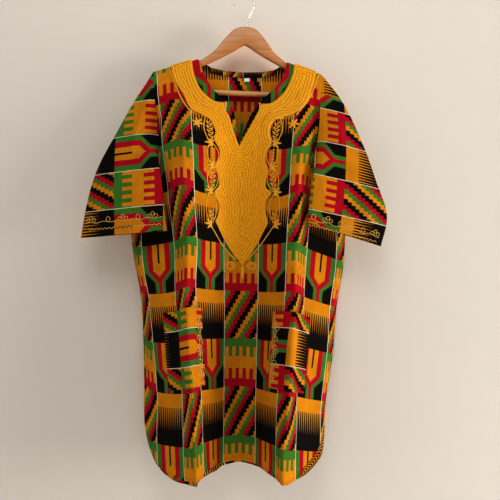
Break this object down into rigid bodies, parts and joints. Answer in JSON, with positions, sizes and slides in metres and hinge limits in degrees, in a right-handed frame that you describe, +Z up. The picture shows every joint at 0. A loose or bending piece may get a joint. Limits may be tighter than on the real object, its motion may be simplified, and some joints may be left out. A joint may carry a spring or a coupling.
{
  "type": "dashiki shirt",
  "caption": "Long wide-sleeved cotton shirt of printed cloth with an embroidered neck, on a wooden clothes hanger with a wire hook.",
  "frame": {"origin": "inner top of the hanger's hook, where a rail or peg carries it", "axes": "-Y out of the shirt's front, +X to the viewer's right, +Z up"},
  "size_m": [0.6992, 0.1895, 1.0995],
  "materials": {
    "print": "matt printed cotton in yellow, red, green and black",
    "tag": "white woven tape",
    "wood": "varnished light brown wood",
    "chrome": "bright plated wire"
  },
  "bodies": {
    "root": {"front": "print", "back": "print", "sleeve_left": "print", "sleeve_right": "print", "pocket_left": "print", "pocket_right": "print", "neck_facing": "print", "size_tag": "tag", "hanger_arms": "wood", "hanger_bar": "wood", "hanger_hook": "chrome"}
  },
  "joints": []
}
